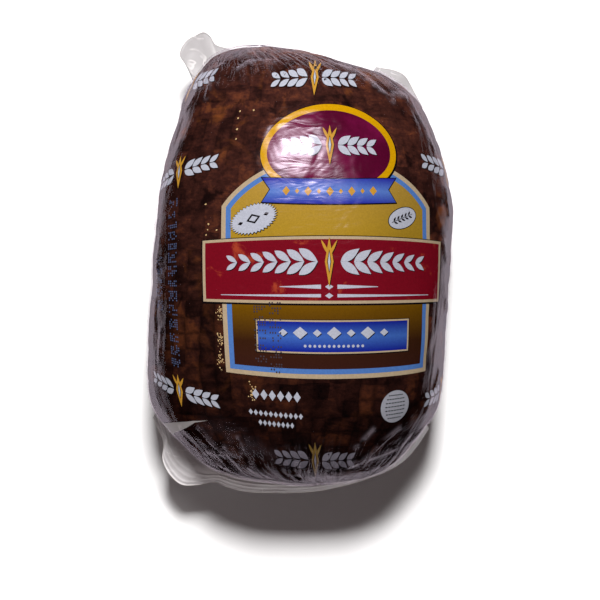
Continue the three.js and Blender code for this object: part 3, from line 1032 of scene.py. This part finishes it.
def dotStamp():
    sheet = PrintSheet("dot_stamp", [inkMaterial("ink_stamp", inkColours["stampBlue"]),
                                     inkMaterial("ink_stamp_dark", inkColours["stampDark"])])
    pitch, astray = stamp["pitch"], stamp["astray"]
    for across, low, high, ink in stamp["columns"]:
        along = low
        while along < high:
            block = random.randint(3, 5)
            for i in range(block):
                for j in range(stamp["dots"]):
                    if random.random() < stamp["filled"]:
                        spot = (across + j * pitch + random.uniform(-astray, astray), along + i * pitch)
                        sheet.add(oval(spot, stamp["dot"], count=8), stamp["layer"], ink)
            along += block * pitch + random.uniform(*stamp["gap"])
    return sheet.finish()


# Fold of loose film that lies over the meat beside the seal's left ear

cornerFold = dict(
    outline=((-130, -121), (-117.9, -111.7), (-111.5, -107.9), (-104.3, -104.1), (-93.3, -98.6),
             (-82.1, -94.5), (-92.1, -99.3), (-100, -106.3), (-110, -114.4), (-116.6, -119.7),
             (-124, -127)),
    layer=27)


def foldOverMeat(materials):
    sheet = PrintSheet("corner_fold", materials)
    sheet.add(cornerFold["outline"], cornerFold["layer"], 0)
    return sheet.finish()


# Fat specks under the film, painted as glints: pale gold spots that are partly fat, partly painted
# highlight

glints = dict(
    spots=((-57.5, 109.1), (-58.5, 104.7), (-58.7, 97.4), (-59.0, 91.0), (-48.5, 107.8), (-77.0, 51.4),
           (-74.8, 37.7), (-76.1, 30.5), (-69.4, 33.2), (-75.2, 34.0)),
    clumps=((-68.1, -20.3), (-68.8, -37.3), (-69.7, -52.4), (-50.0, -70.0)),
    clumpBlots=30, clumpSpread=(1.1, 3.0),
    spotSize=(0.45, 0.8), clumpSize=(0.2, 0.5),
    colour=albedo(238, 214, 160), deep=albedo(200, 150, 90), roughness=0.3)


def blot(middle, size):
    return [(middle[0] + size * random.uniform(0.6, 1.2) * math.cos(i * math.pi / 5),
             middle[1] + size * random.uniform(0.6, 1.3) * math.sin(i * math.pi / 5)) for i in range(10)]


def fatGlints():
    s = Shader("fat_glint")
    speck = s.noise(s.place(), 700.0, 3.0)
    skin = s.add("BsdfPrincipled", {"Base Color": s.blend(speck, glints["colour"], glints["deep"]),
                                    "Roughness": glints["roughness"]})
    sheet = PrintSheet("fat_glints", [s.finish(skin.outputs[0])])
    for spot in glints["spots"]:
        sheet.add(blot(spot, random.uniform(*glints["spotSize"])), -1, 0)
    wide, long = glints["clumpSpread"]
    for x, y in glints["clumps"]:
        for _ in range(glints["clumpBlots"]):
            spot = (x + random.gauss(0, wide), y + random.gauss(0, long))
            sheet.add(blot(spot, random.uniform(*glints["clumpSize"])), -1, 0)
    return sheet.finish()


# Scene

studio = dict(
    lens=112.4, sensor=36.0, cameraPlace=(0.00019, -0.02302, 1.25),
    lamps=(("key", (0.03, 0.675, 1.42), (0.3, 0.3), 43.5, (1.0, 0.985, 0.98)),  # name, place, size, watts
           ("lowFill", (-0.4, -1.1, 0.4), (0.6, 0.5), 2.0, (1.0, 0.85, 0.85))),
    sky=(1.0, 0.82, 0.82, 1.0), skyStrength=0.03,
    floor=((0.9, 0.9, 0.905), (0.93, 0.93, 0.93)), floorRoughness=0.5,
    floorSide=2400.0, floorTiles=12)


def lookDown():
    cam = bpy.data.objects.new("camera", bpy.data.cameras.new("camera"))
    cam.data.lens, cam.data.sensor_width = studio["lens"], studio["sensor"]
    cam.location = studio["cameraPlace"]
    bpy.context.scene.collection.objects.link(cam)
    bpy.context.scene.camera = cam


def areaLight(name, place, size, power, colour, aim=(0, 0, 0.06)):
    data = bpy.data.lights.new(name, "AREA")
    data.shape, data.size, data.size_y = "RECTANGLE", size[0], size[1]
    data.energy, data.color = power, colour
    light = bpy.data.objects.new(name, data)
    light.location = place
    light.rotation_euler = (Vector(aim) - Vector(place)).to_track_quat("-Z", "Y").to_euler()
    bpy.context.scene.collection.objects.link(light)


def floorPiece():
    s = Shader("pale_floor")
    speck = s.noise(s.place(), 60.0, 2.0)
    colour = s.blend(speck, *studio["floor"])
    skin = s.add("BsdfPrincipled", {"Base Color": colour, "Roughness": studio["floorRoughness"]})
    side, count = studio["floorSide"], studio["floorTiles"]
    line = [side * (i / count - 0.5) for i in range(count + 1)]
    points = [(x, y, 0.0) for y in line for x in line]
    wide = count + 1
    faces = [(r * wide + c, r * wide + c + 1, (r + 1) * wide + c + 1, (r + 1) * wide + c)
             for r in range(count) for c in range(count)]
    return newPiece("floor", points, faces, [s.finish(skin.outputs[0])])


def light():
    world = bpy.data.worlds.new("studio")
    world.use_nodes = True
    sky = world.node_tree.nodes["Background"]
    sky.inputs["Color"].default_value = studio["sky"]
    sky.inputs["Strength"].default_value = studio["skyStrength"]
    bpy.context.scene.world = world
    for lamp in studio["lamps"]:
        areaLight(*lamp)
    bpy.context.scene.view_settings.view_transform = "Standard"


lookDown()
light()
floorPiece()
print("camera, lights and floor ready")

upperFilm = [looseFilmMaterial("upper_loose_film", *looseLook["upper"]),
             looseFilmMaterial("upper_film_rim_painted_highlight", *looseLook["upperRimPaintedHighlight"])]
lowerFilmPaintedLight = [looseFilmMaterial("lower_loose_film_painted_light", *looseLook["lowerPaintedLight"]),
             looseFilmMaterial("lower_film_rim_painted_light", *looseLook["lowerRimPaintedLight"])]
contents = skinMesh("ham_meat", meatMaterial(), skinGrid["meatLift"], 1.0, 0.0)
film = skinMesh("shrink_film", clearFilmMaterial(), skinGrid["filmLift"], relief["netOnFilm"], 1.0)
loose = []
# the fin at the seal takes the far paler film, painted light on film in the ham's shadow
for name, flap in flaps.items():
    atSeal = flap["root"][0][1] < 0
    loose.append(flapPiece(name, flap, lowerFilmPaintedLight if atSeal else upperFilm))
loose.append(foldOverMeat([looseFilmMaterial("folded_film", *looseLook["folded"])]))
print("meat and film built")

printed = [build() for build in (labelPanel, labelBanner, labelMedallion, labelBox, labelSeals,
                                 borderMarks, smallRows, dotStamp, fatGlints)]
print("print laid on")

for piece in (contents, film, *loose, *printed):
    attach(piece, "root")
    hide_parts("sealed_bag")
